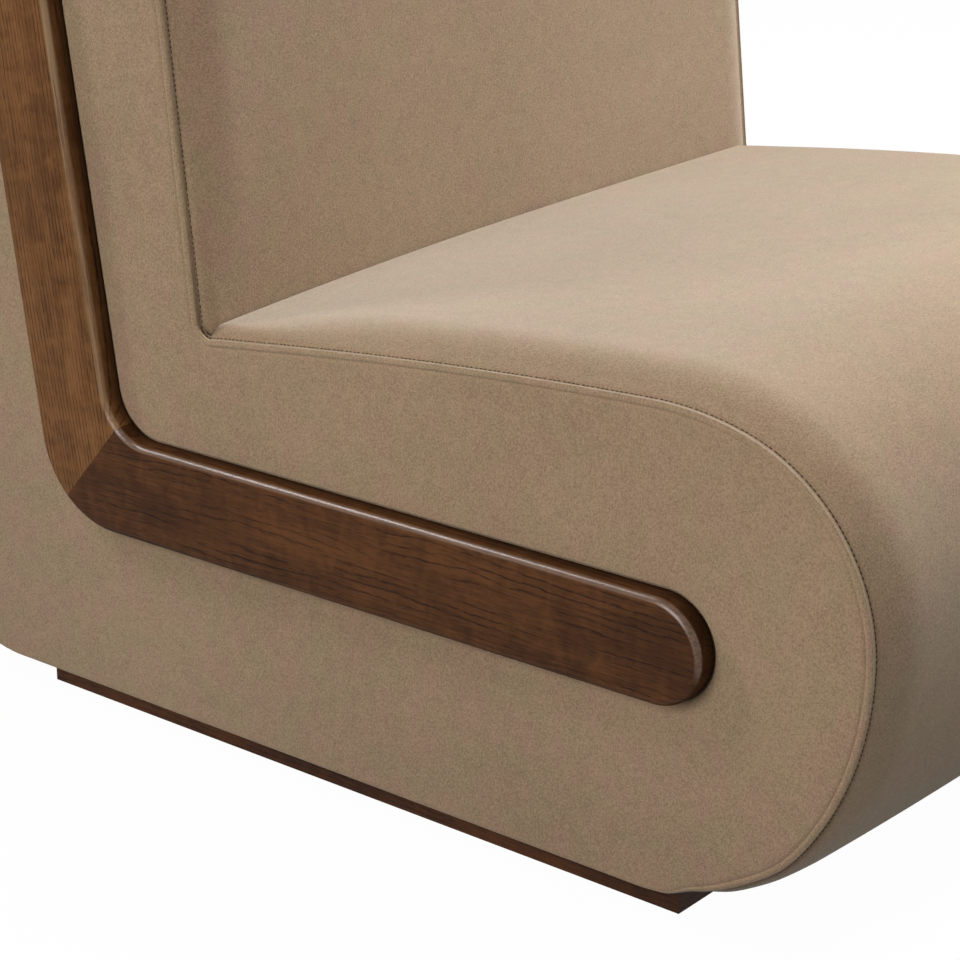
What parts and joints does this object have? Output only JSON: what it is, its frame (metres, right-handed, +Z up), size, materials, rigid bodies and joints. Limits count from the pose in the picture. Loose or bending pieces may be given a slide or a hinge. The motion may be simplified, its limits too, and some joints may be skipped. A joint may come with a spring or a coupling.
{
  "type": "accent chair",
  "caption": "Armless velvet lounge chair with a round-nosed seat, thick reclined back, mitred L-shaped wood side strips and a low set-back wood plinth.",
  "frame": {"origin": "on the floor, under the centre of the chair's bounding box", "axes": "+Z up, -Y to the front of the seat, +X to the sitter's left"},
  "size_m": [0.814, 1.0628, 0.8499],
  "materials": {
    "velvet": "taupe velvet with a fine mottled nap",
    "black_cloth": "thin black woven cloth",
    "foam": "open-cell foam",
    "plywood": "plain plywood",
    "frame_wood": "plain softwood",
    "trim_wood": "walnut-stained open grain with a satin finish",
    "plinth_wood": "dark stained wood with a satin finish",
    "screw_steel": "zinc plated",
    "webbing": "elastic strap",
    "glide_plastic": "moulded nylon"
  },
  "bodies": {
    "root": {"back_foam": "foam", "back_lower_rail": "frame_wood", "back_upper_rail": "frame_wood", "back_webbing": "webbing", "corner_blocks": "frame_wood", "dust_cover": "black_cloth", "floor_glides": "glide_plastic", "front_bottom_rail": "frame_wood", "main_cover": "velvet", "mitre_splines": "frame_wood", "nose_ribs": "plywood", "nose_skin": "plywood", "plinth_blocks": "frame_wood", "plinth_front": "plinth_wood", "plinth_left": "plinth_wood", "plinth_rear": "plinth_wood", "plinth_right": "plinth_wood", "plinth_screws": "screw_steel", "rear_board": "plywood", "rear_bottom_rail": "frame_wood", "rear_cover": "velvet", "rear_pad": "foam", "seat_foam": "foam", "seat_front_rail": "frame_wood", "seat_rear_rail": "frame_wood", "seat_webbing": "webbing", "side_cover_left": "velvet", "side_cover_right": "velvet", "side_frame_left": "plywood", "side_frame_right": "plywood", "side_pad_left": "foam", "side_pad_right": "foam", "top_rear_rail": "frame_wood", "top_ribs": "plywood", "top_skin": "plywood", "trim_back_left": "trim_wood", "trim_back_right": "trim_wood", "trim_screws": "screw_steel", "trim_seat_left": "trim_wood", "trim_seat_right": "trim_wood"}
  },
  "joints": []
}
